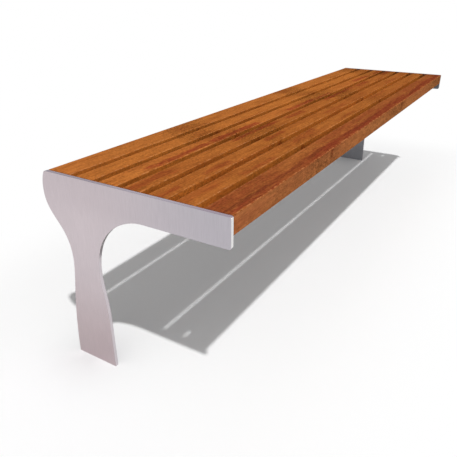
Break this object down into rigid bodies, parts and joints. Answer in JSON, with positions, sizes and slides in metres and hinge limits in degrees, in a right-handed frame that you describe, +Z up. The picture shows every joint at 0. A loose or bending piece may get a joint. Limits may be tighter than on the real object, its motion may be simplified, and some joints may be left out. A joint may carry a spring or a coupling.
{
  "type": "backless bench",
  "caption": "Backless street bench: timber slats along its length, flush between cantilevered steel end plates with waisted legs, for sitting outdoors.",
  "frame": {"origin": "on the ground, at the middle of the bench's length and depth", "axes": "+X along the slats, +Y towards the back, where the legs stand, +Z up"},
  "size_m": [1.8, 0.45, 0.44],
  "materials": {
    "brushed_steel": "brushed stainless steel, brushing upright",
    "hardwood": "oiled tropical hardwood, grain along the slats",
    "galvanised_steel": "galvanised, matt",
    "screw_steel": "stainless steel, bright"
  },
  "bodies": {
    "root": {"end_plate_left": "brushed_steel", "end_plate_right": "brushed_steel", "seat_slat_1": "hardwood", "seat_slat_2": "hardwood", "seat_slat_3": "hardwood", "seat_slat_4": "hardwood", "seat_slat_5": "hardwood", "seat_slat_6": "hardwood", "seat_slat_7": "hardwood", "front_bearer": "galvanised_steel", "centre_bearer": "galvanised_steel", "rear_bearer": "galvanised_steel", "slat_bracket_left_1": "galvanised_steel", "slat_bracket_left_2": "galvanised_steel", "slat_bracket_left_3": "galvanised_steel", "slat_bracket_left_4": "galvanised_steel", "slat_bracket_left_5": "galvanised_steel", "slat_bracket_left_6": "galvanised_steel", "slat_bracket_left_7": "galvanised_steel", "slat_bracket_right_1": "galvanised_steel", "slat_bracket_right_2": "galvanised_steel", "slat_bracket_right_3": "galvanised_steel", "slat_bracket_right_4": "galvanised_steel", "slat_bracket_right_5": "galvanised_steel", "slat_bracket_right_6": "galvanised_steel", "slat_bracket_right_7": "galvanised_steel", "coach_screw_left_1": "screw_steel", "coach_screw_left_2": "screw_steel", "coach_screw_left_3": "screw_steel", "coach_screw_left_4": "screw_steel", "coach_screw_left_5": "screw_steel", "coach_screw_left_6": "screw_steel", "coach_screw_left_7": "screw_steel", "coach_screw_right_1": "screw_steel", "coach_screw_right_2": "screw_steel", "coach_screw_right_3": "screw_steel", "coach_screw_right_4": "screw_steel", "coach_screw_right_5": "screw_steel", "coach_screw_right_6": "screw_steel", "coach_screw_right_7": "screw_steel", "wood_screw_left_1": "screw_steel", "wood_screw_left_2": "screw_steel", "wood_screw_left_3": "screw_steel", "wood_screw_left_4": "screw_steel", "wood_screw_left_5": "screw_steel", "wood_screw_left_6": "screw_steel", "wood_screw_left_7": "screw_steel", "wood_screw_right_1": "screw_steel", "wood_screw_right_2": "screw_steel", "wood_screw_right_3": "screw_steel", "wood_screw_right_4": "screw_steel", "wood_screw_right_5": "screw_steel", "wood_screw_right_6": "screw_steel", "wood_screw_right_7": "screw_steel"}
  },
  "joints": []
}
